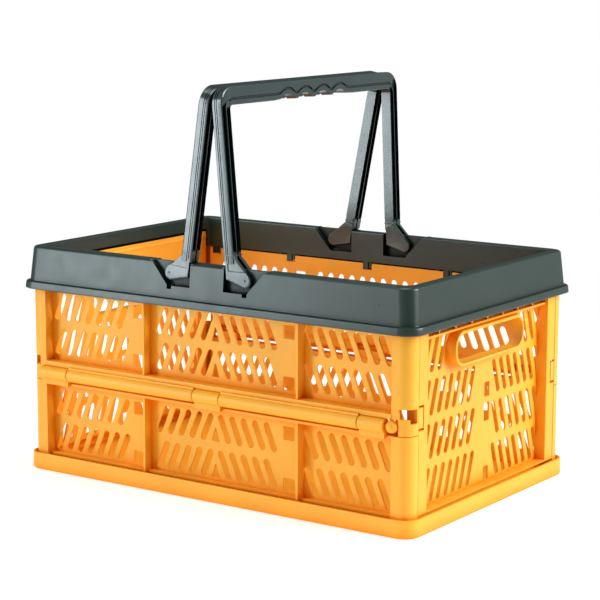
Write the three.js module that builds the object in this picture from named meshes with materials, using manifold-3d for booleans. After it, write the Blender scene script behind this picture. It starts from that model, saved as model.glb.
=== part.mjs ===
// Folding shopping crate: tray, two-part long sides, drop-in end panels, rim and two bail handles.
// Millimetres, +Z up, +X along the long side. The origin is the centre of the footprint, on the floor.
import * as THREE from 'three';
import { mergeVertices } from 'three/addons/utils/BufferGeometryUtils.js';
import Module from 'manifold-3d';

const wasm = await Module();
wasm.setup();

// ---- driving dimensions -------------------------------------------------------------------
const GAP = 0.4;                       // clearance kept between separate pieces

const TRAY = { length: 413.4, width: 269.8, corner: 14.5, height: 15.6, wall: 2.6 };
const FLOOR = { bottom: 2.4, top: 5 };

const POST = { x: 202.1, y: 130.35, corner: 10, wall: 2.6, inner: 184.6, endWidth: 13.9 };
const WEB = { outer: 120.35, inner: 118.6 };
const SEAM = 83.9;                     // height of the split between lower and upper halves
const LOWER_BOTTOM = 5.6;
const UPPER_TOP = 176;
const SPLIT_GAP = 0.25;                // half of the gap along the split

const HINGE = { y: 130.35, z: 91.4, radius: 6, bore: 2.6, pin: 2.1, head: 5.3 };
const KNUCKLES = [[-188, -157], [-14, 14], [155, 179.8]];     // belong to the lower half
const BARREL_STRIP_TOP = 101.5;

const SLOT = { width: 5.8, run: 7.8, pitch: 12.1 };
const LOWER_ROWS = [[18, 43.2], [50.4, 75]];
const UPPER_ROWS = [[106.7, 131.2], [138.2, 162.8]];
const LEFT_BAY_START = -179.1;
const RIGHT_BAY_START = 96.2;
const CHEVRON_START = 5.5;
const BAY_SLOTS = 7;
const CHEVRON_SLOTS = 5;
const SQUARE = 11.4;
const SQUARE_COLUMNS = [-90.9, 71.4];
const RIBS = [[-73, -70.7], [90.7, 93]];

const RIM = {
  flangeLength: 420, flangeWidth: 276.4, flangeCorner: 16.7, flangeBottom: 167.6, flangeTop: 174.4,
  baseLength: 411.3, baseWidth: 267.7, topLength: 405.9, topWidth: 262.3, corner: 12.4, top: 205.6,
  wall: 2.5, innerLength: 385.8, innerWidth: 236.2, innerCorner: 7, sideSkirt: 180, endSkirt: 193.4,
};
const RIM_TABS = [-179, -88.5, 0, 88.5, 179];
const TAB = { width: 9, bottom: 170.4 };

const PIVOT = { x: 39.8, z: 196, pin: 2, bore: 2.4 };
const POCKET = { inner: 17.8, outerTop: 60.4, outerBottom: 42, bottom: 185 };
const BAIL = {
  near: 10.1, far: 20.4, left: 166.2, right: 162.5, bar: 15.7, outside: 131.8, flare: 4.6, depth: 12.3,
  footFar: 19.3, collar: 14.6, cornerOut: 15, cornerIn: 4, lobe: 5.9,
};
const CLEVIS = { web: 3.2, slot: 4 };
const LEAN = { left: 9.75, right: 3.75 };                    // degrees from upright
const GRIP_NOTCHES = { pitch: 27, radius: 17, depth: 4.2 };

const END = {
  inner: 190.5, outer: 192.3, face: 202.1, halfWidth: 116, stile: 14, bottom: 16, top: 191.4,
  borderHeight: 159.6, borderFace: 199.4, rail: 1.7,
};
const END_HINGE = { x: 193.4, z: 187, radius: 3.4, bore: 1.9, pin: 1.5, pinEnd: 119.8 };
const CORNER_LUG = { y0: 116.5, y1: 121, half: 3.4, top: 194 };
const GRIP = { half: 56, bottom: 131, top: 156.4, corner: 11, wall: 2.4 };
const END_SLOT = { width: 5.8, run: 8, pitch: 12.15, height: 30.4 };
const END_ROWS = [18.1, 55.3, 92.1, 128.3];
const NEAR_SLOTS = { start: -104.7, count: 8 };
const FAR_SLOTS = { start: 31.2, count: 7 };

// ---- solids -------------------------------------------------------------------------------
function solid(geometry) {
  const bare = geometry.clone();
  bare.deleteAttribute('normal');
  bare.deleteAttribute('uv');
  const merged = mergeVertices(bare, 1e-4);
  const vertProperties = new Float32Array(merged.attributes.position.array);
  const triVerts = new Uint32Array(merged.index.array);
  return new wasm.Manifold(new wasm.Mesh({ numProp: 3, vertProperties, triVerts }));
}

function box(x0, x1, y0, y1, z0, z1) {
  const geometry = new THREE.BoxGeometry(x1 - x0, y1 - y0, z1 - z0);
  geometry.translate((x0 + x1) / 2, (y0 + y1) / 2, (z0 + z1) / 2);
  return solid(geometry);
}

function outline(points) {
  return new THREE.Shape(points.map(([a, b]) => new THREE.Vector2(a, b)));
}

// Extrudes a shape drawn in X,Y upward from z0 to z1.
function upright(shape, z0, z1, curveSegments = 4) {
  const geometry = new THREE.ExtrudeGeometry(shape, { depth: z1 - z0, bevelEnabled: false, curveSegments });
  geometry.translate(0, 0, z0);
  return geometry;
}

// Extrudes a shape drawn in X,Z across from y0 to y1.
function across(shape, y0, y1, curveSegments = 4) {
  const geometry = new THREE.ExtrudeGeometry(shape, { depth: y1 - y0, bevelEnabled: false, curveSegments });
  geometry.rotateX(Math.PI / 2);
  geometry.translate(0, y1, 0);
  return solid(geometry);
}

// Extrudes a shape drawn in Y,Z along from x0 to x1.
function along(shape, x0, x1, curveSegments = 4) {
  const geometry = new THREE.ExtrudeGeometry(shape, { depth: x1 - x0, bevelEnabled: false, curveSegments });
  geometry.rotateX(Math.PI / 2);
  geometry.rotateZ(Math.PI / 2);
  geometry.translate(x0, 0, 0);
  return solid(geometry);
}

function rodX(x0, x1, y, z, radius, sides = 12) {
  const geometry = new THREE.CylinderGeometry(radius, radius, x1 - x0, sides);
  geometry.rotateZ(Math.PI / 2);
  geometry.translate((x0 + x1) / 2, y, z);
  return solid(geometry);
}

function rodY(y0, y1, x, z, radius, sides = 12) {
  const geometry = new THREE.CylinderGeometry(radius, radius, y1 - y0, sides);
  geometry.translate(x, (y0 + y1) / 2, z);
  return solid(geometry);
}

function roundedRectangle(length, width, corner) {
  const a = length / 2;
  const b = width / 2;
  const shape = new THREE.Shape();
  shape.moveTo(-a + corner, -b);
  shape.lineTo(a - corner, -b);
  shape.absarc(a - corner, -b + corner, corner, -Math.PI / 2, 0);
  shape.lineTo(a, b - corner);
  shape.absarc(a - corner, b - corner, corner, 0, Math.PI / 2);
  shape.lineTo(-a + corner, b);
  shape.absarc(-a + corner, b - corner, corner, Math.PI / 2, Math.PI);
  shape.lineTo(-a, -b + corner);
  shape.absarc(-a + corner, -b + corner, corner, Math.PI, 1.5 * Math.PI);
  return shape;
}

function slab(length, width, corner, z0, z1) {
  return solid(upright(roundedRectangle(length, width, corner), z0, z1));
}

// A rounded slab whose top outline is drawn in to a smaller length and width.
function drafted(length, width, topLength, topWidth, corner, z0, z1) {
  const geometry = upright(roundedRectangle(length, width, corner), z0, z1);
  const position = geometry.attributes.position;
  for (let i = 0; i < position.count; i += 1) {
    if (position.getZ(i) > (z0 + z1) / 2) {
      position.setX(i, position.getX(i) * topLength / length);
      position.setY(i, position.getY(i) * topWidth / width);
    }
  }
  return solid(geometry);
}

function join(parts) {
  return parts.reduce((sum, part) => sum.add(part));
}

function piece(name, body, look) {
  const mesh = body.getMesh();
  const geometry = new THREE.BufferGeometry();
  const stride = mesh.numProp;
  const points = new Float32Array(mesh.vertProperties.length / stride * 3);
  for (let i = 0; i < points.length / 3; i += 1) {
    points.set(mesh.vertProperties.subarray(i * stride, i * stride + 3), i * 3);
  }
  geometry.setAttribute('position', new THREE.BufferAttribute(points, 3));
  geometry.setIndex(new THREE.BufferAttribute(new Uint32Array(mesh.triVerts), 1));
  geometry.computeVertexNormals();
  const result = new THREE.Mesh(geometry, new THREE.MeshStandardMaterial(look));
  result.name = name;
  return result;
}

const YELLOW = { color: 0xf7a823, roughness: 0.45, metalness: 0 };
const SLATE = { color: 0x46544f, roughness: 0.4, metalness: 0 };
const DARK_GREEN = { color: 0x1d2a2a, roughness: 0.3, metalness: 0 };

// ---- base tray ----------------------------------------------------------------------------
function baseTray() {
  const { length, width, corner, height, wall } = TRAY;
  const inside = [length - 2 * wall, width - 2 * wall, corner - wall];
  return slab(length, width, corner, 0, height)
    .subtract(slab(...inside, FLOOR.top, height + 1))
    .subtract(slab(...inside, -1, FLOOR.bottom));
}

// ---- long sides ---------------------------------------------------------------------------
// A slanted slot as a hole in a panel outline: foot is its lowest point, run its sideways drift.
function slotHole(foot, z0, z1, run, width) {
  const half = width / 2;
  return outline([[foot - half, z0 + 1], [foot + half, z0 + 1],
    [foot + run + half, z1 - 1], [foot + run - half, z1 - 1]]);
}

function rowHoles([z0, z1]) {
  const holes = [];
  for (let i = 0; i < BAY_SLOTS; i += 1) {
    holes.push(slotHole(LEFT_BAY_START + i * SLOT.pitch, z0, z1, SLOT.run, SLOT.width));
    holes.push(slotHole(RIGHT_BAY_START + SLOT.run + i * SLOT.pitch, z0, z1, -SLOT.run, SLOT.width));
  }
  for (let i = 0; i < CHEVRON_SLOTS; i += 1) {
    const foot = CHEVRON_START + SLOT.run + i * SLOT.pitch;
    holes.push(slotHole(foot, z0, z1, -SLOT.run, SLOT.width));
    holes.push(slotHole(-foot, z0, z1, SLOT.run, SLOT.width));
  }
  holes.push(outline([[-4, z0 + 0.5], [4, z0 + 0.5], [0, z0 + 12.5]]));
  return holes;
}

function squareHoles(heights) {
  return heights.flatMap((z) => SQUARE_COLUMNS.map((x) => outline(
    [[x, z], [x + SQUARE, z], [x + SQUARE, z + SQUARE], [x, z + SQUARE]])));
}

function sideWeb(z0, z1, rows, squares) {
  const edge = POST.inner + 1;
  const holes = [...rows.flatMap(rowHoles), ...squareHoles(squares)];
  const cutters = join(holes.map((hole) => across(hole, -WEB.outer - 1, -WEB.inner + 1)));
  return box(-edge, edge, -WEB.outer, -WEB.inner, z0, z1).subtract(cutters);
}

// One corner post: a channel with a front wall, a rounded corner, an end wall and a side wall.
function postShape(sign) {
  const { x, y, corner, wall, inner, endWidth } = POST;
  const shape = new THREE.Shape();
  const back = -y + endWidth;
  shape.moveTo(inner, -y);
  shape.lineTo(x - corner, -y);
  shape.absarc(x - corner, -y + corner, corner, -Math.PI / 2, 0);
  shape.lineTo(x, back);
  shape.lineTo(x - wall, back);
  shape.lineTo(x - wall, -y + corner);
  shape.absarc(x - corner, -y + corner, corner - wall, 0, -Math.PI / 2, true);
  shape.lineTo(inner + wall, -y + wall);
  shape.lineTo(inner + wall, -WEB.inner);
  shape.lineTo(inner, -WEB.inner);
  const points = shape.getPoints(4);
  return new THREE.Shape(points.map((p) => new THREE.Vector2(sign * p.x, p.y)));
}

function sideFrame(z0, z1) {
  const posts = [-1, 1].map((sign) => solid(upright(postShape(sign), z0, z1)));
  const ribs = RIBS.map(([x0, x1]) => box(x0, x1, -POST.y + 0.5, -WEB.outer + 0.5, z0, z1));
  return [...posts, ...ribs];
}

function rail(z0, z1) {
  return box(-POST.inner - 0.5, POST.inner + 0.5, -POST.y + 0.5, -WEB.outer + 0.5, z0, z1);
}

// Barrel knuckle with a tongue that runs back to the panel; up is +1 for the upper half.
function knuckle(x0, x1, up) {
  const reach = up > 0 ? BARREL_STRIP_TOP : SEAM - 2.4;
  const z0 = Math.min(HINGE.z, reach);
  const z1 = Math.max(HINGE.z, reach);
  const tongue = box(x0, x1, -POST.y - 1.5, -WEB.outer + 0.5, z0, z1);
  return rodX(x0, x1, -HINGE.y, HINGE.z, HINGE.radius, 16).add(tongue);
}

function hingeBore() {
  return rodX(KNUCKLES[0][0] - GAP, KNUCKLES[2][1] + GAP, -HINGE.y, HINGE.z, HINGE.bore);
}

function lowerPanel() {
  const top = SEAM - SPLIT_GAP;
  const knuckles = KNUCKLES.map(([x0, x1]) => knuckle(x0, x1, -1));
  const body = join([
    sideWeb(LOWER_BOTTOM, top, LOWER_ROWS, [18, 62.8]),
    ...sideFrame(LOWER_BOTTOM, top),
    rail(top - 2.4, top),
    rail(LOWER_BOTTOM, LOWER_BOTTOM + 2.4),
    ...knuckles,
  ]);
  return body.subtract(hingeBore());
}

function upperPanel() {
  const bottom = SEAM + SPLIT_GAP;
  let body = join([
    sideWeb(BARREL_STRIP_TOP - 2, UPPER_TOP, UPPER_ROWS, [105.6, 149.8]),
    ...sideFrame(bottom, UPPER_TOP),
    rail(BARREL_STRIP_TOP - 2, BARREL_STRIP_TOP + 0.4),
    knuckle(KNUCKLES[0][1] + GAP, KNUCKLES[1][0] - GAP, 1),
    knuckle(KNUCKLES[1][1] + GAP, KNUCKLES[2][0] - GAP, 1),
  ]);
  const reach = HINGE.radius + GAP;
  for (const [x0, x1] of KNUCKLES) {
    body = body.subtract(box(x0 - GAP, x1 + GAP, -150, -WEB.inner + 1, SEAM - 1, HINGE.z + reach));
  }
  body = body.subtract(box(179, 191.4, -150, -POST.y + POST.wall + 4, HINGE.z - reach - 2, HINGE.z + reach));
  body = body.subtract(box(191.6, 201, -150, -POST.y + 8, 98.4, 106.4));
  for (const x of RIM_TABS) {
    const half = TAB.width / 2 + GAP;
    body = body.subtract(box(x - half, x + half, -WEB.outer - 2, -WEB.inner + 1, TAB.bottom - GAP, UPPER_TOP + 1));
  }
  return body.subtract(hingeBore());
}

function hingePin() {
  const head = new THREE.SphereGeometry(HINGE.head, 12, 8);
  head.rotateZ(Math.PI / 2);
  head.translate(185.6, -HINGE.y, HINGE.z);
  return rodX(-186, 183, -HINGE.y, HINGE.z, HINGE.pin, 10).add(solid(head));
}

// ---- rim ----------------------------------------------------------------------------------
function pocketShape(grow) {
  const { inner, outerTop, outerBottom, bottom } = POCKET;
  const top = RIM.top + (grow > 0 ? 0 : 5);
  const slope = (outerTop - outerBottom) / (RIM.top - bottom);
  const outerAtTop = outerBottom + slope * (top - bottom);
  return [[-inner + grow, bottom - grow], [-inner + grow, top],
    [-outerAtTop - grow, top], [-outerBottom - grow, bottom - grow]];
}

function mirroredX(points) {
  return points.map(([x, z]) => [-x, z]);
}

function rim() {
  const r = RIM;
  const t = r.wall;
  const outer = slab(r.flangeLength, r.flangeWidth, r.flangeCorner, r.flangeBottom, r.flangeTop)
    .add(drafted(r.baseLength, r.baseWidth, r.topLength, r.topWidth, r.corner, r.flangeTop - 0.01, r.top));
  const opening = slab(r.innerLength, r.innerWidth, r.innerCorner, 150, 220);
  const innerWall = slab(r.innerLength + 2 * t, r.innerWidth + 2 * t, r.innerCorner + t, 150, 220);
  const channel = drafted(r.baseLength - 2 * t, r.baseWidth - 2 * t, r.topLength - 2 * t, r.topWidth - 2 * t,
    r.corner - t, r.flangeBottom - 1, r.top - t).subtract(innerWall);
  const belowSide = slab(r.baseLength - 2 * t, r.baseWidth - 2 * t, r.corner - t, r.flangeBottom - 1, r.sideSkirt);
  const endHalf = END.halfWidth + 1;
  const belowEnd = box(-r.innerLength / 2 - t - 1, r.innerLength / 2 + t + 1, -endHalf, endHalf,
    r.flangeBottom, r.endSkirt);
  let body = outer.subtract(channel).subtract(opening).subtract(belowSide).subtract(belowEnd);

  const middle = BAIL.outside - BAIL.depth / 2;
  const envelope = outer.subtract(opening);
  for (const flip of [false, true]) {
    const place = (points) => (flip ? mirroredX(points).reverse() : points);
    const block = outline(place(pocketShape(2.2)));
    const recess = outline(place(pocketShape(0)));
    const x = flip ? PIVOT.x : -PIVOT.x;
    for (const side of [-1, 1]) {
      const span = (a, b) => (side < 0 ? [-b, -a] : [a, b]);
      const wall = across(block, ...span(r.innerWidth / 2, r.baseWidth / 2)).intersect(envelope);
      body = body.add(wall)
        .subtract(across(recess, ...span(middle + CLEVIS.web / 2, 150)))
        .subtract(across(recess, ...span(110, middle - CLEVIS.web / 2)))
        .subtract(rodY(side * middle - 4, side * middle + 4, x, PIVOT.z, PIVOT.bore));
    }
  }
  const tabInner = r.innerWidth / 2;
  for (const x of RIM_TABS) {
    for (const side of [-1, 1]) {
      const y = [side * tabInner, side * (tabInner + t)].sort((a, b) => a - b);
      body = body.add(box(x - TAB.width / 2, x + TAB.width / 2, ...y, TAB.bottom, r.sideSkirt + 1));
    }
  }
  for (const side of [-1, 1]) {
    const lugX = side * END_HINGE.x;
    const { y0, y1, half, top } = CORNER_LUG;
    for (const span of [[-y1, -y0], [y0, y1]]) {
      body = body.add(box(lugX - half, lugX + half, ...span, END_HINGE.z - half, top));
    }
    body = body.subtract(rodY(-y1 - 1, y1 + 1, lugX, END_HINGE.z, END_HINGE.bore));
  }
  return body;
}

// ---- end panel ----------------------------------------------------------------------------
function endRow({ start, count }, z0, run) {
  const holes = [];
  for (let i = 0; i < count; i += 1) {
    const foot = start + i * END_SLOT.pitch;
    const besideGrip = Math.abs(foot) > GRIP.half + 9;
    if (z0 < GRIP.bottom - END_SLOT.height || besideGrip) {
      holes.push(slotHole(foot, z0, z0 + END_SLOT.height, run, END_SLOT.width));
    }
  }
  return holes;
}

function gripOutline(grow) {
  const shape = roundedRectangle(2 * (GRIP.half + grow), GRIP.top - GRIP.bottom + 2 * grow, GRIP.corner + grow);
  const lift = (GRIP.top + GRIP.bottom) / 2;
  return new THREE.Shape(shape.getPoints(3).map((p) => new THREE.Vector2(p.x, p.y + lift)));
}

function endPanel() {
  const e = END;
  const holes = [];
  for (const z0 of END_ROWS) {
    holes.push(...endRow(NEAR_SLOTS, z0, END_SLOT.run), ...endRow(FAR_SLOTS, z0, -END_SLOT.run));
  }
  for (const [z0, z1] of [[17.6, 30], [70, 86], [91.6, 104.4]]) {
    holes.push(outline([[7.5, z0], [16, z0], [16, z1], [7.5, z1]]));
  }
  const ribs = [];
  for (let i = -4; i <= 4; i += 1) {
    ribs.push(box(e.outer - 0.5, e.borderFace - 2, i * 26.5 - 1, i * 26.5 + 1, e.borderHeight, UPPER_TOP));
  }
  const stiles = [-1, 1].map((side) => {
    const y = [side * e.halfWidth, side * (e.halfWidth - e.stile)].sort((a, b) => a - b);
    return box(e.inner, e.face, ...y, e.bottom, UPPER_TOP);
  });
  const cutters = join(holes.map((hole) => along(hole, e.inner - 1, e.outer + 1)));
  const body = join([
    box(e.inner, e.outer, -e.halfWidth, e.halfWidth, e.bottom, e.top).subtract(cutters),
    box(e.outer - 0.5, e.face, -e.halfWidth, e.halfWidth, e.bottom, e.bottom + e.rail),
    along(gripOutline(GRIP.wall), e.inner, e.face),
    box(e.outer - 0.5, e.borderFace, -e.halfWidth, e.halfWidth, e.borderHeight, e.borderHeight + 2),
    rodY(-e.halfWidth, e.halfWidth, END_HINGE.x, END_HINGE.z, END_HINGE.radius, 16),
    rodY(-END_HINGE.pinEnd, END_HINGE.pinEnd, END_HINGE.x, END_HINGE.z, END_HINGE.pin),
    ...stiles,
    ...ribs,
  ]);
  return body.subtract(along(gripOutline(0), e.inner - 5, e.face + 5));
}

// ---- bail handle --------------------------------------------------------------------------
// Drawn upright about its own pivot: +X points to the middle of the crate, legs at both Y sides.
function bailHandle(length) {
  const b = BAIL;
  const y = b.outside;
  const inside = y - b.depth;
  const shoulder = y + b.flare - b.cornerOut;
  const armpit = inside + b.flare - b.cornerIn;
  const outerTurn = length - b.cornerOut;
  const innerTurn = length - b.bar - b.cornerIn;
  const hoop = new THREE.Shape();
  hoop.moveTo(-y, b.collar);
  hoop.lineTo(-inside, b.collar);
  hoop.lineTo(-inside - b.flare, innerTurn);
  hoop.absarc(-armpit, innerTurn, b.cornerIn, Math.PI, Math.PI / 2, true);
  hoop.lineTo(armpit, length - b.bar);
  hoop.absarc(armpit, innerTurn, b.cornerIn, Math.PI / 2, 0, true);
  hoop.lineTo(inside, b.collar);
  hoop.lineTo(y, b.collar);
  hoop.lineTo(y + b.flare, outerTurn);
  hoop.absarc(shoulder, outerTurn, b.cornerOut, 0, Math.PI / 2);
  hoop.lineTo(-shoulder, length);
  hoop.absarc(-shoulder, outerTurn, b.cornerOut, Math.PI / 2, Math.PI);
  let body = along(hoop, b.near, b.far);

  const foot = new THREE.Shape();
  foot.moveTo(b.footFar, 0.9);
  foot.lineTo(b.footFar, b.collar + 2);
  foot.lineTo(b.near, b.collar + 4.6);
  foot.lineTo(2.4, 10.4);
  foot.lineTo(-4.2, 4.1);
  foot.absarc(0, 0, b.lobe, 2.36, 4.9);
  const middle = y - b.depth / 2;
  for (const side of [-1, 1]) {
    const span = (a, c) => (side < 0 ? [-c, -a] : [a, c]);
    body = body.add(across(foot, ...span(middle + CLEVIS.slot / 2, y)))
      .add(across(foot, ...span(inside, middle - CLEVIS.slot / 2)))
      .add(rodY(...span(inside + 1, y - 1), 0, 0, PIVOT.pin));
  }
  const { pitch, radius, depth } = GRIP_NOTCHES;
  for (let i = 0; i < 4; i += 1) {
    const centre = (i - 1.5) * pitch;
    body = body.subtract(rodX(b.near - 1, b.far + 1, centre, length - b.bar + depth - radius, radius, 28));
  }
  return body;
}

// ---- assembly -----------------------------------------------------------------------------
const crate = new THREE.Group();
crate.add(piece('base_tray', baseTray(), YELLOW));

const lower = lowerPanel();
const upper = upperPanel();
const pin = hingePin();
const end = endPanel();
for (const [side, turn] of [['front', 0], ['rear', Math.PI]]) {
  const group = new THREE.Group();
  group.rotation.z = turn;
  group.add(piece(`${side}_lower_panel`, lower, YELLOW));
  group.add(piece(`${side}_upper_panel`, upper, YELLOW));
  group.add(piece(`${side}_mid_hinge_pin`, pin, YELLOW));
  crate.add(group);
}
for (const [side, turn] of [['right', 0], ['left', Math.PI]]) {
  const group = new THREE.Group();
  group.rotation.z = turn;
  group.add(piece(`${side}_end_panel`, end, YELLOW));
  crate.add(group);
}
crate.add(piece('rim', rim(), SLATE));

for (const [side, turn] of [['left', 0], ['right', Math.PI]]) {
  const group = new THREE.Group();
  group.rotation.z = turn;
  const handle = piece(`${side}_handle`, bailHandle(BAIL[side]), DARK_GREEN);
  handle.position.set(-PIVOT.x, 0, PIVOT.z);
  handle.rotation.y = THREE.MathUtils.degToRad(LEAN[side]);
  group.add(handle);
  crate.add(group);
}

export default crate;
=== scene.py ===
import math

import bmesh
import bpy
from mathutils import Matrix, Vector


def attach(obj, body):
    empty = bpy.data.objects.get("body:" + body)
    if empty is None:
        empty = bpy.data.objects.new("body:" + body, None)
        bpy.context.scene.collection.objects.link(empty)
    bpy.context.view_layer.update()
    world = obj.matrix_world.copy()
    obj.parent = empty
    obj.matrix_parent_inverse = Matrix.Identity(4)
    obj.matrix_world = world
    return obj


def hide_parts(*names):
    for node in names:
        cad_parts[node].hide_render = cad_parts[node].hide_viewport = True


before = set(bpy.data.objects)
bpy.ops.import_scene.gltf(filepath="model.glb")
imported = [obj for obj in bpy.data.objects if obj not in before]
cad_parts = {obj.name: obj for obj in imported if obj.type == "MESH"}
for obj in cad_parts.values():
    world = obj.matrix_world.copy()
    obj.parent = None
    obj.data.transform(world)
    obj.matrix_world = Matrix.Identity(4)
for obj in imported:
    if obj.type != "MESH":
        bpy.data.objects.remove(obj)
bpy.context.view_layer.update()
MM = 0.001

# ---- meshes in millimetres ------------------------------------------------------------------
SMOOTH_ANGLE = math.radians(42)
# A plate is drawn flat and then stood up: PLAN leaves it level, FRONT draws in X,Z and SIDE in Y,Z.
PLAN = Matrix.Identity(4)
FRONT = Matrix(((1, 0, 0, 0), (0, 0, -1, 0), (0, 1, 0, 0), (0, 0, 0, 1)))
SIDE = Matrix(((0, 0, 1, 0), (1, 0, 0, 0), (0, 1, 0, 0), (0, 0, 0, 1)))
HALF_TURN = Matrix.Rotation(math.pi, 4, "Z")


def temporary(mesh):
    obj = bpy.data.objects.new("temporary", mesh)
    bpy.context.scene.collection.objects.link(obj)
    return obj


def evaluated(obj):
    depsgraph = bpy.context.evaluated_depsgraph_get()
    return bpy.data.meshes.new_from_object(obj.evaluated_get(depsgraph))


def tidy(mesh, distance=0.0005):
    """Merges doubled points and points every face outwards."""
    bm = bmesh.new()
    bm.from_mesh(mesh)
    bmesh.ops.remove_doubles(bm, verts=bm.verts, dist=distance)
    bmesh.ops.dissolve_degenerate(bm, edges=bm.edges, dist=distance)
    bmesh.ops.recalc_face_normals(bm, faces=bm.faces)
    bm.to_mesh(mesh)
    bm.free()
    return mesh


def plate(outer, holes, low, high, bevel, axes):
    """A flat plate with holes and rounded edges, between low and high along its third axis."""
    curve = bpy.data.curves.new("outline", "CURVE")
    curve.dimensions = "2D"
    curve.fill_mode = "BOTH"
    curve.extrude = (high - low) / 2 - bevel
    curve.bevel_depth = bevel
    curve.bevel_resolution = 1
    curve.offset = -bevel
    for loop in [outer, *holes]:
        spline = curve.splines.new("POLY")
        spline.points.add(len(loop) - 1)
        spline.use_cyclic_u = True
        for point, (a, b) in zip(spline.points, loop):
            point.co = (a, b, 0, 1)
    obj = temporary(curve)
    mesh = evaluated(obj)
    bpy.data.objects.remove(obj)
    bpy.data.curves.remove(curve)
    mesh.transform(axes @ Matrix.Translation((0, 0, (low + high) / 2)))
    return tidy(mesh)


def rounded_box(x0, x1, y0, y1, z0, z1, bevel=0.4, segments=2):
    """A box with rounded edges, or sharp ones where bevel is 0."""
    bm = bmesh.new()
    bmesh.ops.create_cube(bm, size=1)
    for vert in bm.verts:
        vert.co = ((x0 + x1) / 2 + vert.co.x * (x1 - x0),
                   (y0 + y1) / 2 + vert.co.y * (y1 - y0),
                   (z0 + z1) / 2 + vert.co.z * (z1 - z0))
    if bevel:
        bmesh.ops.bevel(bm, geom=bm.edges[:], offset=bevel, segments=segments, profile=0.5,
                        affect="EDGES")
    mesh = bpy.data.meshes.new("box")
    bm.to_mesh(mesh)
    bm.free()
    return mesh


def loft(rings, capped=True):
    """Joins rings of the same count of points. The ends get caps, or the last ring meets the first."""
    count = len(rings[0])
    verts = [point for ring in rings for point in ring]
    faces = []
    last = len(rings) - 1 if capped else len(rings)
    for i in range(last):
        here, there = i * count, (i + 1) % len(rings) * count
        for j in range(count):
            k = (j + 1) % count
            faces.append((here + j, here + k, there + k, there + j))
    if capped:
        faces.append(tuple(range(count - 1, -1, -1)))
        faces.append(tuple(range(last * count, last * count + count)))
    mesh = bpy.data.meshes.new("loft")
    mesh.from_pydata(verts, [], faces)
    bm = bmesh.new()
    bm.from_mesh(mesh)
    bmesh.ops.recalc_face_normals(bm, faces=bm.faces)
    if bm.calc_volume(signed=True) < 0:
        bmesh.ops.reverse_faces(bm, faces=bm.faces)
    bm.to_mesh(mesh)
    bm.free()
    return mesh


def lathe(profile, centre, axis, sides=32):
    """Spins (distance along the axis, radius) about an axis through centre, X or Y."""
    rings = []
    for along, radius in profile:
        ring = []
        for i in range(sides):
            turn = 2 * math.pi * i / sides
            a, b = radius * math.cos(turn), radius * math.sin(turn)
            offset = (along, a, b) if axis == "X" else (b, along, a)
            ring.append(tuple(c + o for c, o in zip(centre, offset)))
        rings.append(ring)
    return loft(rings)


def rod(start, end, radius, chamfer, centre, axis, sides):
    """A round bar with its end edges cut back."""
    profile = [(start, radius - chamfer), (start + chamfer, radius),
               (end - chamfer, radius), (end, radius - chamfer)]
    return lathe(profile, centre, axis, sides)


def combine(base, adds=(), cuts=()):
    """Adds some meshes to a base mesh, then cuts others from it."""
    obj = temporary(base)
    tools = []
    steps = [(mesh, "UNION") for mesh in adds] + [(mesh, "DIFFERENCE") for mesh in cuts]
    for mesh, operation in steps:
        tool = temporary(mesh)
        tools.append(tool)
        modifier = obj.modifiers.new("boolean", "BOOLEAN")
        modifier.operation = operation
        modifier.solver = "MANIFOLD"
        modifier.object = tool
    result = evaluated(obj)
    for item in [obj, *tools]:
        bpy.data.objects.remove(item)
    return result


def turned(mesh, matrix):
    copy = mesh.copy()
    copy.transform(matrix)
    return copy


def piece(name, mesh, body, node, material):
    """Turns a mesh in millimetres into a named piece that stands for a CAD node."""
    mesh = mesh.copy()
    mesh.name = name
    mesh.transform(Matrix.Scale(MM, 4))
    mesh.materials.clear()
    mesh.materials.append(material)
    mesh.polygons.foreach_set("use_smooth", [True] * len(mesh.polygons))
    mesh.set_sharp_from_angle(angle=SMOOTH_ANGLE)
    obj = bpy.data.objects.new(name, mesh)
    bpy.context.scene.collection.objects.link(obj)
    normals = obj.modifiers.new("normals", "WEIGHTED_NORMAL")
    normals.keep_sharp = True
    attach(obj, body)
    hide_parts(node)
    return obj


# ---- outlines -------------------------------------------------------------------------------
def arc(cx, cy, radius, start, end, steps):
    """Points on an arc, with its angles in degrees."""
    points = []
    for i in range(steps + 1):
        turn = math.radians(start + (end - start) * i / steps)
        points.append((cx + radius * math.cos(turn), cy + radius * math.sin(turn)))
    return points


def rectangle(a0, a1, b0, b1, corner=0.0, steps=4):
    """A rectangle's outline, with round corners where corner isn't 0."""
    if not corner:
        return [(a0, b0), (a1, b0), (a1, b1), (a0, b1)]
    return (arc(a1 - corner, b0 + corner, corner, -90, 0, steps)
            + arc(a1 - corner, b1 - corner, corner, 0, 90, steps)
            + arc(a0 + corner, b1 - corner, corner, 90, 180, steps)
            + arc(a0 + corner, b0 + corner, corner, 180, 270, steps))


def slot(foot, low, high, run, width, steps=6):
    """A slanted slot with round ends: foot is the sideways place of its lower end, run its drift."""
    radius = width / 2
    lean = math.degrees(math.atan2(high - low - width, run))
    top = arc(foot + run, high - radius, radius, lean - 90, lean + 90, steps)
    bottom = arc(foot, low + radius, radius, lean + 90, lean + 270, steps)
    return top + bottom


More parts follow.
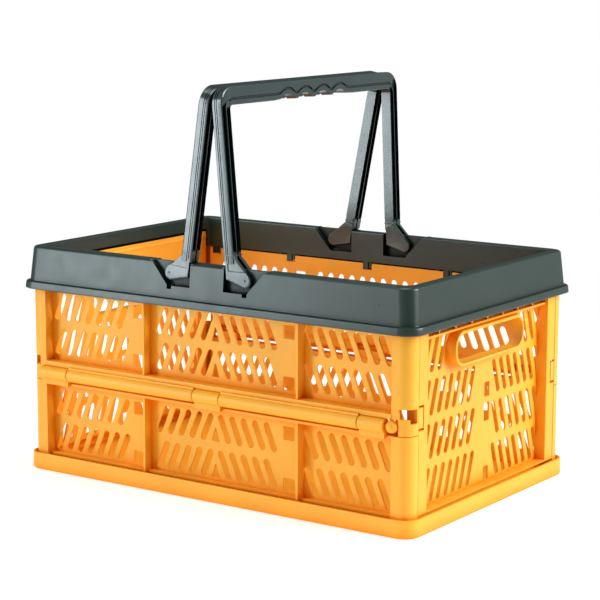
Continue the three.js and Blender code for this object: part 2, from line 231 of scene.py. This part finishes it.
# ---- dimensions shared with the CAD, in millimetres -----------------------------------------
POST_X, POST_Y, POST_R, POST_WALL, POST_IN, POST_END = 202.1, 130.35, 10.0, 2.6, 184.6, 13.9
WEB_OUT, WEB_IN = 120.35, 118.6
SEAM = 83.9
SEAM_GAP = 0.25
LOW_BOTTOM, UP_BOTTOM, UP_TOP = 5.6, 99.5, 176.0
GAP = 0.4
HINGE_Y, HINGE_Z, HINGE_R = 130.35, 91.4, 6.0
HINGE_AXIS = (0, -HINGE_Y, HINGE_Z)
HINGE_BORE, HINGE_PIN, PIN_HEAD = 2.6, 2.1, 5.3
KNUCKLES = [(-188.0, -157.0), (-14.0, 14.0), (155.0, 179.8)]
LOWER_ROWS = [(18.0, 43.2), (50.4, 75.0)]
UPPER_ROWS = [(106.7, 131.2), (138.2, 162.8)]
RIBS = [(-73.0, -70.7), (90.7, 93.0)]
SLOT_PITCH, SLOT_RUN, SLOT_WIDTH = 12.1, 7.8, 6.1
LEFT_FOOT, RIGHT_FOOT, MIDDLE_FOOT = -179.1, 104.0, 13.3
SQUARE_COLUMNS = [-90.9, 71.4]
SQUARE = 11.4
TABS = [-88.5, 0.0, 88.5]
CORNER_TABS = [-179.0, 179.0]


def row_slots(low, high):
    """One row: 7 slots in each outer bay, and in the middle bay 5 on each side of a narrow wedge."""
    loops = []
    for i in range(7):
        loops.append(slot(LEFT_FOOT + SLOT_PITCH * i, low, high, SLOT_RUN, SLOT_WIDTH))
        loops.append(slot(RIGHT_FOOT + SLOT_PITCH * i, low, high, -SLOT_RUN, SLOT_WIDTH))
    for i in range(5):
        foot = MIDDLE_FOOT + SLOT_PITCH * i
        loops.append(slot(foot, low, high, -SLOT_RUN, SLOT_WIDTH))
        loops.append(slot(-foot, low, high, SLOT_RUN, SLOT_WIDTH))
    loops.append([(-3.6, low + 0.6), (3.6, low + 0.6), (4.0, low + 1.2),
                  (0.6, low + 12.4), (-0.6, low + 12.4), (-4.0, low + 1.2)])
    return loops


def square_loops(heights):
    return [rectangle(x, x + SQUARE, z, z + SQUARE, 0.8, 2) for z in heights for x in SQUARE_COLUMNS]


def post_outline(sign):
    """A corner post in plan: a channel with a round outer corner, open to the inside."""
    back = -POST_Y + POST_END
    cx, cy = POST_X - POST_R, -POST_Y + POST_R
    points = [(POST_IN, -POST_Y)] + arc(cx, cy, POST_R, -90, 0, 8)
    points += [(POST_X, back), (POST_X - POST_WALL, back)]
    points += arc(cx, cy, POST_R - POST_WALL, 0, -90, 8)
    points += [(POST_IN + POST_WALL, -POST_Y + POST_WALL), (POST_IN + POST_WALL, -WEB_IN),
               (POST_IN, -WEB_IN)]
    return [(sign * x, y) for x, y in points]


def posts(low, high):
    return [plate(post_outline(sign), [], low, high, 0.3, PLAN) for sign in (-1, 1)]


def ribs(low, high):
    return [rounded_box(a, b, -POST_Y + 0.4, -WEB_OUT + 0.8, low, high, 0.35) for a, b in RIBS]


def rail(low, high, y, bevel=0.35):
    return rounded_box(-POST_IN - 0.6, POST_IN + 0.6, y, -WEB_OUT + 0.8, low, high, bevel)


def web(low, high, rows, squares):
    """The thin wall of one half, with its slots and square holes."""
    loops = [loop for row in rows for loop in row_slots(*row)] + square_loops(squares)
    edge = POST_IN + 1
    return plate(rectangle(-edge, edge, low, high), loops, WEB_IN, WEB_OUT, 0.4, FRONT)


def barrel(x0, x1, up):
    """A hinge knuckle: a round barrel with a flat tongue that runs to its own half of the side."""
    low, high = (HINGE_Z, UP_BOTTOM - 0.9) if up else (SEAM - 3.0, HINGE_Z)
    tongue = rounded_box(x0, x1, -HINGE_Y - 2.4, -WEB_OUT + 0.8, low, high, 0.5)
    return combine(rod(x0, x1, HINGE_R, 0.5, HINGE_AXIS, "X", 40), [tongue])


def bore():
    ends = [(KNUCKLES[0][0] - GAP, HINGE_BORE), (KNUCKLES[2][1] + GAP, HINGE_BORE)]
    return lathe(ends, HINGE_AXIS, "X", 20)


def lower_panel():
    top = SEAM - SEAM_GAP
    adds = posts(LOW_BOTTOM, top) + ribs(LOW_BOTTOM, top)
    adds += [rail(top - 2.4, top, -POST_Y + 0.5), rail(14.0, 16.4, -POST_Y + 3.5)]
    adds += [barrel(a, b, False) for a, b in KNUCKLES]
    return combine(web(LOW_BOTTOM, top, LOWER_ROWS, [18, 62.8]), adds, [bore()])


def upper_panel():
    adds = posts(SEAM + SEAM_GAP, UP_TOP) + ribs(UP_BOTTOM, UP_TOP)
    adds.append(rail(97.6, 101.9, -POST_Y - 0.6, 0.5))
    adds += [barrel(before[1] + GAP, after[0] - GAP, True)
             for before, after in zip(KNUCKLES, KNUCKLES[1:])]
    reach = HINGE_R + GAP
    cuts = [rounded_box(a - GAP, b + GAP, -150, -WEB_IN + 1, SEAM - 1, HINGE_Z + reach - 0.2, 0)
            for a, b in KNUCKLES]
    # Room for the pin's head, then the window in the right post and the one in the left post.
    cuts.append(rounded_box(179, 191.4, -150, -POST_Y + 6.6, HINGE_Z - reach - 2, HINGE_Z + reach,
                            1.5, 3))
    cuts.append(rounded_box(191.6, 201, -150, -POST_Y + 8, 98.0, 106.4, 0.8, 2))
    cuts.append(rounded_box(191.6, 210, -126, -POST_Y + 12, 94.2, 106.4, 0.8, 2))
    cuts.append(rounded_box(-201, -191.4, -150, -POST_Y + 8, 97.5, 105.8, 0.8, 2))
    cuts += [rounded_box(x - 5, x + 5, -WEB_OUT - 2, -WEB_IN + 1, 170, UP_TOP + 1, 0)
             for x in TABS + CORNER_TABS]
    cuts.append(bore())
    return combine(web(UP_BOTTOM, UP_TOP, UPPER_ROWS, [105.6, 149.8]), adds, cuts)


def hinge_pin():
    """The middle hinge's pin with its round head."""
    neck = [(-186, 1.5), (-185.4, HINGE_PIN), (180.4, HINGE_PIN)]
    head = [(185.6 + PIN_HEAD * math.sin(math.radians(a)), PIN_HEAD * math.cos(math.radians(a)))
            for a in range(-64, 90, 11)]
    return lathe(neck + head, HINGE_AXIS, "X", 28)


# ---- end panel ------------------------------------------------------------------------------
END_IN, END_OUT, END_FACE, END_HALF = 190.5, 192.3, 202.1, 116.0
END_LOW, END_TOP = 16.0, 191.4
END_X, END_Z, END_R, END_PIN, END_BORE = 193.4, 187.0, 3.4, 1.5, 1.9
PIN_END = 119.8
GRIP_HALF, GRIP_LOW, GRIP_HIGH, GRIP_R, GRIP_WALL = 56.0, 131.0, 156.4, 11.0, 2.4
END_ROWS = [18.1, 55.3, 92.1, 128.3]
ROW_HEIGHT = 30.4
END_PITCH, END_RUN, END_SLOT = 12.15, 8.0, 5.9
STILE = 14.0
RIB_PITCH = 26.5


def grip_outline(grow):
    return rectangle(-GRIP_HALF - grow, GRIP_HALF + grow, GRIP_LOW - grow, GRIP_HIGH + grow,
                     GRIP_R + grow, 8)


def end_panel():
    loops = []
    for low in END_ROWS:
        for start, count, run in ((-104.7, 8, END_RUN), (31.2, 7, -END_RUN)):
            for i in range(count):
                foot = start + END_PITCH * i
                if low < 100 or abs(foot) > GRIP_HALF + 9:
                    loops.append(slot(foot, low, low + ROW_HEIGHT, run, END_SLOT))
    loops += [rectangle(7.5, 16, a, b, 0.8, 2) for a, b in ((17.9, 30), (70, 86), (91.6, 104.4))]
    wall = plate(rectangle(-END_HALF, END_HALF, END_LOW, END_TOP), loops, END_IN, END_OUT, 0.4, SIDE)
    adds = [plate(grip_outline(GRIP_WALL), [], END_IN, END_FACE, 0.8, SIDE)]
    for sign in (-1, 1):
        a, b = sorted((sign * END_HALF, sign * (END_HALF - STILE)))
        adds.append(rounded_box(END_IN, END_FACE, a, b, END_LOW, UP_TOP, 0.9, 3))
    adds.append(rounded_box(END_OUT - 0.5, 199.4, -END_HALF, END_HALF, 159.6, 161.6, 0.4))
    adds.append(rounded_box(END_OUT - 0.5, END_FACE, -END_HALF, END_HALF, END_LOW, END_LOW + 1.7,
                            0.4))
    adds += [rounded_box(END_OUT - 0.5, 198.6, RIB_PITCH * i - 1, RIB_PITCH * i + 1, 160, UP_TOP, 0.3)
             for i in range(-4, 5)]
    axle = (END_X, 0, END_Z)
    adds.append(rod(-END_HALF, END_HALF, END_R, 0.4, axle, "Y", 24))
    adds.append(rod(-PIN_END, PIN_END, END_PIN, 0.4, axle, "Y", 16))
    cuts = [plate(grip_outline(0), [], END_IN - 5, END_FACE + 5, 0.01, SIDE)]
    for sign in (-1, 1):
        a, b = sorted((sign * 108.2, sign * 109.6))
        cuts.append(rounded_box(END_OUT + 1, END_FACE + 2, a, b, 87, 108, 0))
        for low in (87, 106):
            a, b = sorted((sign * 109, sign * 118))
            cuts.append(rounded_box(END_OUT + 1, END_FACE + 2, a, b, low, low + 2, 0))
    return combine(wall, adds, cuts)


# ---- tray -----------------------------------------------------------------------------------
def ring(a, b, r, z, steps=8):
    """A rounded rectangle of half sizes a and b at height z."""
    points = (arc(a - r, -b + r, r, -90, 0, steps) + arc(a - r, b - r, r, 0, 90, steps)
              + arc(-a + r, b - r, r, 90, 180, steps) + arc(-a + r, -b + r, r, 180, 270, steps))
    return [(x, y, z) for x, y in points]


TRAY_A, TRAY_B, TRAY_R = 206.9, 135.1, 14.8
# (distance in from the outer face, height), from under the floor, round the skirt, to the floor's top.
TRAY_SECTION = [(4.0, 2.4), (4.0, 0.4), (3.6, 0.0), (2.4, 0.0), (1.2, 0.35), (0.35, 1.2), (0.0, 2.6),
                (0.35, 13.6), (0.35, 14.9), (0.55, 15.4), (1.0, 15.6), (2.5, 15.6), (2.9, 15.3),
                (3.0, 14.8), (3.0, 5.6), (3.6, 5.0)]


def tray():
    return loft([ring(TRAY_A - inset, TRAY_B - inset, TRAY_R - inset, z) for inset, z in TRAY_SECTION])


# ---- rim ------------------------------------------------------------------------------------
FLANGE_A, FLANGE_B, FLANGE_R = 210.0, 138.2, 16.7
WALL_A, WALL_B, WALL_R = 205.65, 133.85, 12.4
TOP_A, TOP_B = 202.95, 131.15
FLANGE_LOW, FLANGE_TOP, RIM_TOP = 167.6, 174.4, 205.6
IN_A, IN_B, IN_R = 192.9, 118.1, 7.0
SIDE_SKIRT, END_SKIRT = 177.4, 193.4
SKIN = 2.5
PIVOT_X, PIVOT_Z = 39.8, 196.0
MIDDLE = 125.65
POCKET_IN, POCKET_LOW, POCKET_TOP, POCKET_FLOOR = 17.8, 42.0, 60.4, 185.0
PIVOT_BORE, PIVOT_PIN = 2.4, 2.0


def outer_ring(z, inset=0.0):
    """The drafted outer wall at height z."""
    t = (z - FLANGE_TOP) / (RIM_TOP - FLANGE_TOP)
    a = WALL_A + (TOP_A - WALL_A) * t
    b = WALL_B + (TOP_B - WALL_B) * t
    return ring(a - inset, b - inset, WALL_R - inset, z)


def flange_ring(inset, z):
    return ring(FLANGE_A - inset, FLANGE_B - inset, FLANGE_R - inset, z)


def inner_ring(grow, z):
    return ring(IN_A + grow, IN_B + grow, IN_R + grow, z)


def rim_shell():
    """The rim as one closed section round its outline: flange, outer wall, top lip and inner skirt."""
    rings = [
        outer_ring(FLANGE_LOW, SKIN),
        flange_ring(1.0, FLANGE_LOW),
        flange_ring(0.3, FLANGE_LOW + 0.3),
        flange_ring(0.0, FLANGE_LOW + 1.0),
        flange_ring(0.5, FLANGE_TOP - 1.5),
        flange_ring(0.9, FLANGE_TOP - 0.5),
        flange_ring(1.8, FLANGE_TOP - 0.1),
        flange_ring(2.6, FLANGE_TOP),
        outer_ring(FLANGE_TOP + 0.05, -0.7),
        outer_ring(FLANGE_TOP + 0.35, -0.15),
        outer_ring(FLANGE_TOP + 1.2),
        outer_ring(RIM_TOP - 2.4),
        outer_ring(RIM_TOP - 1.2, 0.35),
        outer_ring(RIM_TOP - 0.35, 1.15),
        outer_ring(RIM_TOP, 2.4),
        inner_ring(1.0, RIM_TOP),
        inner_ring(0.3, RIM_TOP - 0.3),
        inner_ring(0.0, RIM_TOP - 1.0),
        inner_ring(0.0, SIDE_SKIRT + 0.3),
        inner_ring(0.3, SIDE_SKIRT),
        inner_ring(SKIN, SIDE_SKIRT),
        inner_ring(SKIN, RIM_TOP - SKIN),
        outer_ring(RIM_TOP - SKIN, SKIN),
    ]
    return loft(rings, capped=False)


def pocket_outline(grow):
    """A handle pocket from the front: upright towards the middle, sloping on the outer side."""
    top = RIM_TOP if grow else RIM_TOP + 5
    slope = (POCKET_TOP - POCKET_LOW) / (RIM_TOP - POCKET_FLOOR)
    outer = POCKET_LOW + slope * (top - POCKET_FLOOR)
    return [(-POCKET_IN + grow, POCKET_FLOOR - grow), (-POCKET_IN + grow, top), (-outer - grow, top),
            (-POCKET_LOW - grow, POCKET_FLOOR - grow)]


def rim():
    """The shell with its handle pockets, and the tabs and bosses that the sides and ends hang from."""
    body = rim_shell()
    ends = rounded_box(-IN_A - SKIN - 1, IN_A + SKIN + 1, -END_HALF - 1, END_HALF + 1,
                       FLANGE_LOW, END_SKIRT, 0)
    body = combine(body, [], [ends])
    adds, cuts = [], []
    for flip in (1, -1):
        block = [(flip * x, z) for x, z in pocket_outline(2.2)]
        recess = [(flip * x, z) for x, z in pocket_outline(0)]
        for side in (1, -1):
            low, high = sorted((side * (IN_B + 0.3), side * (TOP_B - 0.6)))
            adds.append(plate(block, [], low, high, 0.01, FRONT))
            low, high = sorted((side * (MIDDLE + 1.6), side * 150))
            cuts.append(plate(recess, [], low, high, 0.01, FRONT))
            low, high = sorted((side * 110, side * (MIDDLE - 1.6)))
            cuts.append(plate(recess, [], low, high, 0.01, FRONT))
            low, high = sorted((-side * (MIDDLE - 3), -side * (MIDDLE + 3)))
            cuts.append(lathe([(low, PIVOT_BORE), (high, PIVOT_BORE)], (-flip * PIVOT_X, 0, PIVOT_Z),
                              "Y", 20))
            a, b = sorted((-flip * 37.6, -flip * 42.6))
            y0, y1 = sorted((-side * 122.5, -side * 140))
            cuts.append(rounded_box(a, b, y0, y1, 182.2, 186.4, 0))
    body = combine(body, adds, cuts)
    tabs = []
    for side in (-1, 1):
        y0, y1 = sorted((side * IN_B, side * (IN_B + SKIN)))
        for x in TABS:
            tabs.append(rounded_box(x - 4.5, x + 1.2, y0, y1, 170.4, SIDE_SKIRT + 1, 0.4))
            tabs.append(rounded_box(x + 2.4, x + 4.5, y0, y1, 172.0, SIDE_SKIRT + 1, 0.3))
        for x in CORNER_TABS:
            tabs += [rounded_box(x + d - 1.2, x + d + 1.2, y0, y1, 170.4, SIDE_SKIRT + 1, 0.3)
                     for d in (-3.3, 0, 3.3)]
        x0, x1 = sorted((side * (END_X - END_R), side * (END_X + END_R)))
        for y0, y1 in ((-121, -116.5), (116.5, 121)):
            tabs.append(rounded_box(x0, x1, y0, y1, END_Z - END_R, 194, 0.4))
    bores = [lathe([(-122, END_BORE), (122, END_BORE)], (side * END_X, 0, END_Z), "Y", 20)
             for side in (-1, 1)]
    return combine(body, tabs, bores)


# ---- bail handle ----------------------------------------------------------------------------
NEAR, FAR, FOOT_FAR = 10.1, 20.4, 19.3
BAIL_Y, LEG_DEPTH, BAR = 131.8, 12.3, 15.7
FLARE = 4.6
OUT_R, IN_CORNER = 15.0, 4.0
COLLAR = 14.6
NOTCHES = [-40.5, -13.5, 13.5, 40.5]
NOTCH_R, NOTCH_DEPTH = 17.0, 4.2
LOBE = 5.9
# (part of the way up the leg, channel depth)
LEG_STATIONS = [(0, 0), (0.05, 0), (0.07, 0), (0.085, 1), (0.3, 1), (0.6, 1), (0.97, 1), (1.0, 0.85)]
# A section's points are (edge measured from, depth from it, place across), where "o" is the outer edge
# and "i" the inner one. In BAR_FACE and LEG_FACE the last number is the hollow's depth in the face.
FLUTES = [("o", 0.0, NEAR + 1.0), ("o", 0.0, NEAR + 5.2), ("o", 0.5, NEAR + 5.4), ("o", 0.5, NEAR + 5.8),
          ("o", 0.0, NEAR + 6.0), ("o", 0.0, NEAR + 7.0), ("o", 0.5, NEAR + 7.2), ("o", 0.5, NEAR + 7.6),
          ("o", 0.0, NEAR + 7.8), ("o", 0.0, FAR - 0.6), ("o", 0.2, FAR - 0.2)]
BAR_FACE = [("o", 1.0, 0.0), ("o", 1.5, 0.0), ("i", 6.6, 0.0), ("i", 6.2, 1.2), ("i", 4.7, 1.2),
            ("i", 4.3, 0.1), ("i", 0.9, 0.1), ("i", 0.25, 0.6)]
LEG_FACE = [("o", 0.45, 0.0), ("o", 0.8, 3.4), ("i", 7.1, 3.4), ("i", 6.8, 0.2), ("i", 6.0, 0.2),
            ("i", 5.7, 3.4), ("i", 0.8, 3.4), ("i", 0.45, 0.1)]


def section(channel):
    """The section's points.

    channel is 0 on the bar, whose faces are flat with one thin groove, and 1 on the legs, whose faces
    are hollowed on both sides of a thin ridge.
    """
    face = []
    for (kind, bar_depth, bar_hollow), (_, leg_depth, leg_hollow) in zip(BAR_FACE, LEG_FACE):
        depth = bar_depth + (leg_depth - bar_depth) * channel
        face.append((kind, depth, FAR - bar_hollow - (leg_hollow - bar_hollow) * channel))
    low = 0.9 - 0.5 * channel
    inner = [("i", 0.0, FAR - low), ("i", 0.0, NEAR + low)]
    mirror = [(kind, depth, NEAR + FAR - u) for kind, depth, u in reversed(face)]
    return FLUTES + face + inner + mirror + [("o", 0.25, NEAR + 0.25)]


def notch(y):
    """How far a finger groove rises into the bar's underside at y."""
    for centre in NOTCHES:
        if abs(y - centre) < NOTCH_R:
            rise = math.sqrt(NOTCH_R ** 2 - (y - centre) ** 2) - (NOTCH_R - NOTCH_DEPTH)
            if rise > 0:
                return rise
    return 0.0


def bail_path(top):
    """Outer point, inner point and channel depth along the hoop in its own plane, foot to foot."""
    half = []
    inside = BAIL_Y - LEG_DEPTH
    outer_turn, inner_turn = top - OUT_R, top - BAR - IN_CORNER
    for t, channel in LEG_STATIONS:
        spread = FLARE * t
        half.append(((-BAIL_Y - spread, COLLAR + (outer_turn - COLLAR) * t),
                     (-inside - spread, COLLAR + (inner_turn - COLLAR) * t), channel))
    outer_arc = arc(-BAIL_Y - FLARE + OUT_R, outer_turn, OUT_R, 180, 90, 10)[1:]
    inner_arc = arc(-inside - FLARE + IN_CORNER, inner_turn, IN_CORNER, 180, 90, 10)[1:]
    for k, (outer, inner) in enumerate(zip(outer_arc, inner_arc)):
        half.append((outer, inner, max(0.0, 0.7 - 0.14 * k)))
    y = -114.0
    while y < -1e-6:
        half.append(((y, top), (y, top - BAR + notch(y)), 0))
        y += 1.2 if y > -60 else 9.0
    half.append(((0.0, top), (0.0, top - BAR + notch(0.0)), 0))
    other = [((-o[0], o[1]), (-i[0], i[1]), channel) for o, i, channel in reversed(half[:-1])]
    return half + other


def foot_outline():
    """The clevis plate's outline about the pivot."""
    points = [(FOOT_FAR, 0.9), (FOOT_FAR, COLLAR + 3), (NEAR, COLLAR + 4.8), (2.4, 10.4), (-4.2, 4.1)]
    return points + arc(0, 0, LOBE, 160, 280, 10)


def bail(top):
    """A handle drawn upright about its own pivot: a hoop, with a fork, pin and collar at each foot."""
    rings = []
    for outer, inner, channel in bail_path(top):
        length = math.dist(outer, inner)
        direction = ((inner[0] - outer[0]) / length, (inner[1] - outer[1]) / length)
        points = []
        for kind, depth, u in section(channel):
            reach = depth if kind == "o" else length - depth
            points.append((u, outer[0] + direction[0] * reach, outer[1] + direction[1] * reach))
        rings.append(points)
    hoop = loft(rings)
    block = [(FOOT_FAR - 1.6, 1.4), (FOOT_FAR - 1.6, 8.4), (-1.5, 7.2), (-4.0, 4.1)]
    block += arc(0, 0, LOBE - 0.7, 160, 280, 10)
    strip = [(FOOT_FAR, 0.9), (FOOT_FAR, COLLAR + 3), (FOOT_FAR - 2.4, COLLAR + 3),
             (FOOT_FAR - 2.4, 1.0)]
    adds = []
    for side in (-1, 1):
        for a, b in ((MIDDLE + 2.0, BAIL_Y - 0.6), (BAIL_Y - LEG_DEPTH, MIDDLE - 2.0)):
            low, high = sorted((-side * a, -side * b))
            adds.append(plate(foot_outline(), [], low, high, 0.4, FRONT))
        for shape in (block, strip):
            low, high = sorted((-side * (BAIL_Y - 1.6), -side * BAIL_Y))
            adds.append(plate(shape, [], low, high, 0.3, FRONT))
        a, b = sorted((side * (BAIL_Y - 1), side * (BAIL_Y - LEG_DEPTH + 1)))
        adds.append(lathe([(a, PIVOT_PIN), (b, PIVOT_PIN)], (0, 0, 0), "Y", 20))
        a, b = sorted((side * (BAIL_Y + 0.45), side * (BAIL_Y - LEG_DEPTH)))
        adds.append(rounded_box(NEAR - 0.25, FAR + 0.25, a, b, 20.8, 21.8, 0.3))
    cuts = []
    for side in (-1, 1):
        a, b = sorted((side * (BAIL_Y - 0.6), side * (BAIL_Y + 2)))
        cuts.append(lathe([(a, 1.1), (b, 1.1)], (-0.6, 0, 0.4), "Y", 16))
    return combine(hoop, adds, cuts)


# ---- materials ------------------------------------------------------------------------------
def noise(tree, place, scale, detail=2.0):
    node = tree.nodes.new("ShaderNodeTexNoise")
    node.inputs["Scale"].default_value = scale
    node.inputs["Detail"].default_value = detail
    tree.links.new(place, node.inputs["Vector"])
    return node.outputs["Fac"]


def remap(tree, value, start, end, low=0.0, high=1.0):
    """Maps start..end to low..high, and holds it there outside them."""
    node = tree.nodes.new("ShaderNodeMapRange")
    for socket, number in (("From Min", start), ("From Max", end), ("To Min", low), ("To Max", high)):
        node.inputs[socket].default_value = number
    tree.links.new(value, node.inputs["Value"])
    return node.outputs["Result"]


def mix(tree, factor, a, b, blend="MIX"):
    """Mixes two colours. Each of factor, a and b is a plain value or another node's output."""
    node = tree.nodes.new("ShaderNodeMix")
    node.data_type = "RGBA"
    node.blend_type = blend
    for socket, value in (("Factor", factor), ("A", a), ("B", b)):
        if isinstance(value, bpy.types.NodeSocket):
            tree.links.new(value, node.inputs[socket])
        else:
            node.inputs[socket].default_value = value
    return node.outputs["Result"]


def plastic(name, colour, painted_hollow_shade, roughness, specular, grain, reach):
    """Moulded plastic: slow colour drift, painted shade that darkens hollows and gaps and dims their
    reflections, paler edges, fine grain and flow marks.
    """
    material = bpy.data.materials.new(name)
    material.use_nodes = True
    tree = material.node_tree
    shader = tree.nodes["Principled BSDF"]
    shader.inputs["Metallic"].default_value = 0.0
    shader.inputs["IOR"].default_value = 1.49
    place = tree.nodes.new("ShaderNodeTexCoord").outputs["Object"]

    # Painted shade: ambient occlusion finds hollows and gaps, and there the colour turns to the darker
    # hollow colour.
    hollow = tree.nodes.new("ShaderNodeAmbientOcclusion")
    hollow.inputs["Distance"].default_value = reach
    hollow.samples = 6
    openness = hollow.outputs["AO"]
    base = mix(tree, remap(tree, openness, 0.35, 0.95), (*painted_hollow_shade, 1), (*colour, 1))
    # Painted shade on reflections: the specular level falls in the same hollows.
    shine = remap(tree, openness, 0.4, 0.9, specular * 0.08, specular)
    tree.links.new(shine, shader.inputs["Specular IOR Level"])

    pointiness = tree.nodes.new("ShaderNodeNewGeometry").outputs["Pointiness"]
    worn = remap(tree, pointiness, 0.52, 0.62, 0.0, 0.14)
    pale = mix(tree, worn, base, tuple(min(1.0, c * 1.5 + 0.04) for c in colour) + (1,))
    tone = remap(tree, noise(tree, place, 14.0, 3.0), 0.3, 0.7, 0.94, 1.06)
    shade = mix(tree, 1.0, pale, tone, "MULTIPLY")
    tree.links.new(shade, shader.inputs["Base Color"])

    rough = remap(tree, noise(tree, place, 60.0, 4.0), 0, 1, roughness - 0.07, roughness + 0.09)
    tree.links.new(rough, shader.inputs["Roughness"])

    relief = tree.nodes.new("ShaderNodeMath")
    relief.operation = "MULTIPLY_ADD"
    relief.inputs[1].default_value = 6.0
    tree.links.new(noise(tree, place, 25.0), relief.inputs[0])
    tree.links.new(noise(tree, place, 1700.0), relief.inputs[2])
    bump = tree.nodes.new("ShaderNodeBump")
    bump.inputs["Strength"].default_value = grain
    bump.inputs["Distance"].default_value = 0.0001
    tree.links.new(relief.outputs["Value"], bump.inputs["Height"])
    tree.links.new(bump.outputs["Normal"], shader.inputs["Normal"])
    return material


# The second colour of each plastic is painted shade for its recesses and gaps: deeper orange on the
# yellow, near black on the slate and the dark green.
YELLOW = plastic("yellow_plastic", colour=(0.95, 0.415, 0.022), painted_hollow_shade=(0.95, 0.26, 0.002),
                 roughness=0.42, specular=0.42, grain=0.35, reach=0.012)
SLATE = plastic("slate_plastic", colour=(0.019, 0.038, 0.031), painted_hollow_shade=(0.003, 0.004, 0.004),
                roughness=0.30, specular=0.5, grain=0.35, reach=0.02)
GREEN = plastic("dark_green_plastic", colour=(0.014, 0.034, 0.033), painted_hollow_shade=(0.003, 0.004, 0.005),
                roughness=0.20, specular=0.85, grain=0.25, reach=0.014)

# ---- pieces ---------------------------------------------------------------------------------
def yellow(name, mesh, body, node):
    piece(name, mesh, body, node, YELLOW)


yellow("tray_shell", tray(), "crate", "base_tray")
low_half, high_half, pin = lower_panel(), upper_panel(), hinge_pin()
for word, matrix in (("front", PLAN), ("rear", HALF_TURN)):
    yellow(f"{word}_lower_side", turned(low_half, matrix), "crate", f"{word}_lower_panel")
    yellow(f"{word}_upper_side", turned(high_half, matrix), "crate", f"{word}_upper_panel")
    yellow(f"{word}_hinge_pin", turned(pin, matrix), "crate", f"{word}_mid_hinge_pin")
end = end_panel()
yellow("right_end_wall", end, "right_end", "right_end_panel")
yellow("left_end_wall", turned(end, HALF_TURN), "left_end", "left_end_panel")
piece("rim_frame", rim(), "crate", "rim", SLATE)
# Each handle: its side, degrees that it leans to the middle, height over its pivot, and turn.
for word, lean, top, matrix in (("left", 9.75, 166.2, PLAN), ("right", 3.75, 162.5, HALF_TURN)):
    place = (matrix @ Matrix.Translation((-PIVOT_X, 0, PIVOT_Z))
             @ Matrix.Rotation(math.radians(lean), 4, "Y"))
    piece(f"{word}_bail", turned(bail(top), place), f"{word}_bail", f"{word}_handle",
          GREEN)

# ---- floor, light and camera ----------------------------------------------------------------
scene = bpy.context.scene
floor_material = bpy.data.materials.new("pale_floor")
floor_material.use_nodes = True
floor_shader = floor_material.node_tree.nodes["Principled BSDF"]
floor_shader.inputs["Base Color"].default_value = (0.7, 0.7, 0.7, 1)
floor_shader.inputs["Roughness"].default_value = 0.85
floor_shader.inputs["Emission Color"].default_value = (1, 1, 1, 1)
floor_shader.inputs["Emission Strength"].default_value = 0.5
bm = bmesh.new()
bmesh.ops.create_grid(bm, x_segments=1, y_segments=1, size=0.85)
floor_mesh = bpy.data.meshes.new("floor")
bm.to_mesh(floor_mesh)
bm.free()
floor_mesh.materials.append(floor_material)
floor = bpy.data.objects.new("floor", floor_mesh)
scene.collection.objects.link(floor)

# The sky is bright only low down along one line, so that walls square to it catch it and others don't.
world = bpy.data.worlds.new("studio")
scene.world = world
world.use_nodes = True
sky_nodes, sky_links = world.node_tree.nodes, world.node_tree.links
ambient = sky_nodes["Background"]
direction = sky_nodes.new("ShaderNodeTexCoord")
toward = sky_nodes.new("ShaderNodeVectorMath")
toward.operation = "DOT_PRODUCT"
toward.inputs[1].default_value = (0.6, 0.8, 0.0)
sky_links.new(direction.outputs["Generated"], toward.inputs[0])
either_way = sky_nodes.new("ShaderNodeMath")
either_way.operation = "ABSOLUTE"
sky_links.new(toward.outputs["Value"], either_way.inputs[0])
brightness = remap(world.node_tree, either_way.outputs["Value"], 0.45, 0.95, 0.10, 0.55)
sky_links.new(brightness, ambient.inputs["Strength"])
ambient.inputs["Color"].default_value = (1.0, 1.0, 1.0, 1)
backdrop = sky_nodes.new("ShaderNodeBackground")
backdrop.inputs["Color"].default_value = (1.0, 1.0, 1.0, 1)
backdrop.inputs["Strength"].default_value = 1.0
path = sky_nodes.new("ShaderNodeLightPath")
blend = sky_nodes.new("ShaderNodeMixShader")
sky_links.new(path.outputs["Is Camera Ray"], blend.inputs["Fac"])
sky_links.new(ambient.outputs["Background"], blend.inputs[1])
sky_links.new(backdrop.outputs["Background"], blend.inputs[2])
sky_links.new(blend.outputs["Shader"], sky_nodes["World Output"].inputs["Surface"])
scene.view_settings.view_transform = "Standard"


def area_light(name, place, target, size, power, colour=(1, 1, 1)):
    light = bpy.data.lights.new(name, "AREA")
    light.shape = "RECTANGLE"
    light.size, light.size_y = size
    light.energy = power
    light.color = colour
    obj = bpy.data.objects.new(name, light)
    scene.collection.objects.link(obj)
    obj.location = place
    obj.rotation_euler = (Vector(place) - Vector(target)).to_track_quat("Z", "Y").to_euler()


area_light("key", (-1.40, -1.70, 0.4), (0, 0, 0.2), (0.6, 1.7), 28, (0.84, 0.95, 1.0))
area_light("side", (1.95, 0.75, 1.0), (0, 0, 0.15), (1.0, 1.2), 51)
area_light("top", (-0.1, -0.3, 2.3), (0, 0, 0.1), (1.8, 1.8), 34)

AZIMUTH, ELEVATION, ROLL = math.radians(34.767), math.radians(9.934), math.radians(0.138)
CAMERA_PLACE = (1.0225, -1.4662, 0.4707)
LENS = 120.58
right = Vector((math.cos(AZIMUTH), math.sin(AZIMUTH), 0))
back = Vector((math.sin(AZIMUTH) * math.cos(ELEVATION), -math.cos(AZIMUTH) * math.cos(ELEVATION),
               math.sin(ELEVATION)))
up = back.cross(right)
level = math.cos(ROLL) * right + math.sin(ROLL) * up
upright = -math.sin(ROLL) * right + math.cos(ROLL) * up
camera_data = bpy.data.cameras.new("camera")
camera_data.sensor_width = 36.0
camera_data.lens = LENS
camera = bpy.data.objects.new("camera", camera_data)
scene.collection.objects.link(camera)
camera.matrix_world = Matrix.Translation(CAMERA_PLACE) @ Matrix(
    (level, upright, back)).transposed().to_4x4()
scene.camera = camera
